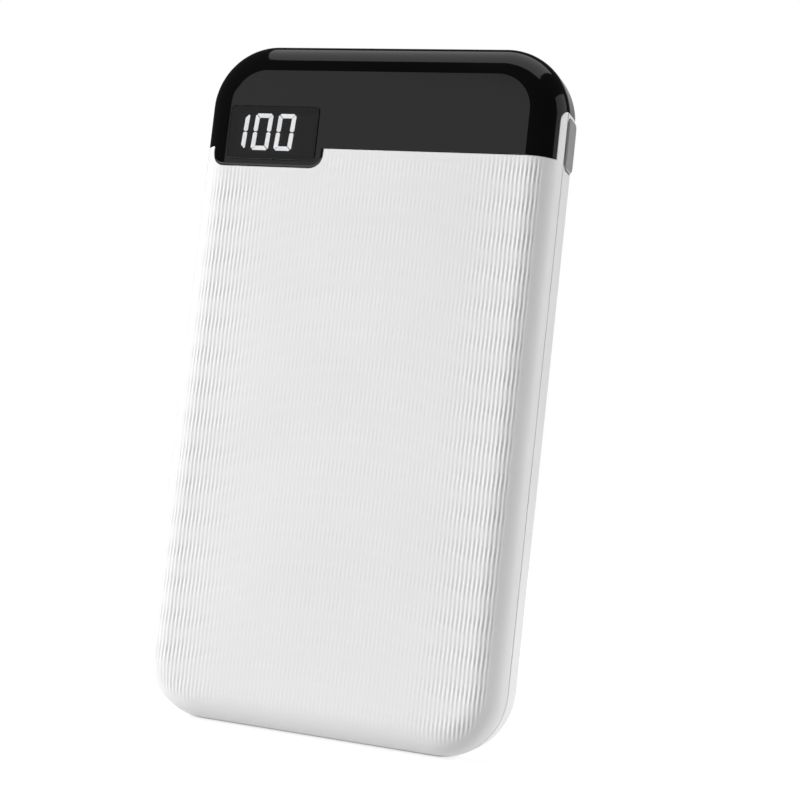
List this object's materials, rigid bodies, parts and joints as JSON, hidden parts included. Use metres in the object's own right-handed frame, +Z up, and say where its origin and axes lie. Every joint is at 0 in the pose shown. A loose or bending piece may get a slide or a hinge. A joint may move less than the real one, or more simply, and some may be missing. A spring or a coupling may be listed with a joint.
{
  "type": "power bank",
  "caption": "Slim power bank with a ribbed white casing, a glossy black socket end, a charge display and a side button.",
  "frame": {"origin": "centre of the foot, the end opposite the sockets, at the middle of the width and depth", "axes": "+X to the right seen from the front, the ribbed front face looks along -Y, +Z up the length to the socket end"},
  "size_m": [0.0704, 0.016, 0.128],
  "materials": {
    "white_shell": "fine satin, moulded ribs on the front",
    "black_gloss": "polished piano black",
    "smoked_window": "smoked, polished",
    "dark_plastic": "moulded, fine grain",
    "lit_segments": "lit light guide",
    "grey_button": "satin",
    "circuit_board": "solder mask",
    "screw_steel": "plated",
    "socket_steel": "plated sheet",
    "socket_plastic": "moulded",
    "contact_metal": "gold flash",
    "ferrite": "pressed powder",
    "ceramic_chip": "fired",
    "cell_pouch": "laminated foil",
    "nickel": "rolled strip",
    "foam": "closed cell foam",
    "insulating_paper": "fibre sheet",
    "red_insulation": "smooth",
    "black_insulation": "smooth"
  },
  "bodies": {
    "casing": {"front_cover": "white_shell", "back_cover": "white_shell", "top_cap": "black_gloss", "display_window": "smoked_window", "display_frame": "dark_plastic", "display_board": "circuit_board", "display_digits": "lit_segments", "button_switch_body": "dark_plastic", "main_board": "circuit_board", "board_screws": "screw_steel", "power_inductor": "ferrite", "charge_controller": "dark_plastic", "boost_controller": "dark_plastic", "bulk_capacitors": "ferrite", "ceramic_capacitors": "ceramic_chip", "chip_resistors": "dark_plastic", "battery_cell_front": "cell_pouch", "battery_cell_back": "cell_pouch", "cell_tape": "foam", "cell_tabs": "nickel", "protection_board": "circuit_board", "insulating_sheet": "insulating_paper", "foam_pad_front": "foam", "foam_pad_back": "foam", "battery_lead_red": "red_insulation", "battery_lead_black": "black_insulation", "usb_a_left_shell": "socket_steel", "usb_a_left_insert": "socket_plastic", "usb_a_left_contacts": "contact_metal", "usb_a_right_shell": "socket_steel", "usb_a_right_insert": "socket_plastic", "usb_a_right_contacts": "contact_metal", "type_c_shell": "socket_steel", "type_c_insert": "socket_plastic", "type_c_contacts": "contact_metal", "micro_usb_shell": "socket_steel", "micro_usb_insert": "socket_plastic", "micro_usb_contacts": "contact_metal"},
    "button": {"power_button": "grey_button"},
    "switch_plunger": {"button_switch_plunger": "dark_plastic"}
  },
  "joints": [
    {"name": "button_press", "type": "slide", "parent": "casing", "child": "button", "axis": [-1, 0, 0], "range_m": [0, 0.00035], "stiffness_N_per_m": 4000},
    {"name": "plunger_press", "type": "slide", "parent": "casing", "child": "switch_plunger", "axis": [-1, 0, 0], "range_m": [0, 0.00035]}
  ],
  "couplings": [
    {"joint": "plunger_press", "follows": "button_press", "ratio": 1}
  ]
}
